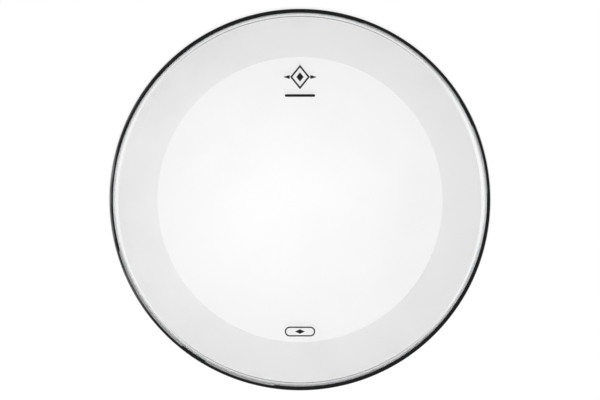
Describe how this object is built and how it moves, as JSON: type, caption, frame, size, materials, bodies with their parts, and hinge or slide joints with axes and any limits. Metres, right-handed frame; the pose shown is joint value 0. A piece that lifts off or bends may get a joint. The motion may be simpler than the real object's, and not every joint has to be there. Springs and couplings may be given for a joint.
{
  "type": "drum head",
  "caption": "Clear bass drum head: film with a formed collar, potted with resin into a rolled aluminium flesh hoop, and a muffle ring under its outer part.",
  "frame": {"origin": "middle of the hoop's flat base, on the head's axis", "axes": "+Z along the axis, out of the playing side; +Y towards the upper edge of the picture"},
  "size_m": [0.5799, 0.58, 0.016],
  "materials": {
    "hoop_aluminium": "polished along the strip",
    "clear_film": "clear gloss polyester",
    "edge_resin": "cast resin",
    "ring_film": "clear gloss polyester",
    "adhesive": "clear pressure-sensitive film"
  },
  "bodies": {
    "root": {"flesh_hoop": "hoop_aluminium", "drum_film": "clear_film", "edge_resin": "edge_resin", "muffle_ring": "ring_film", "ring_adhesive": "adhesive"}
  },
  "joints": []
}
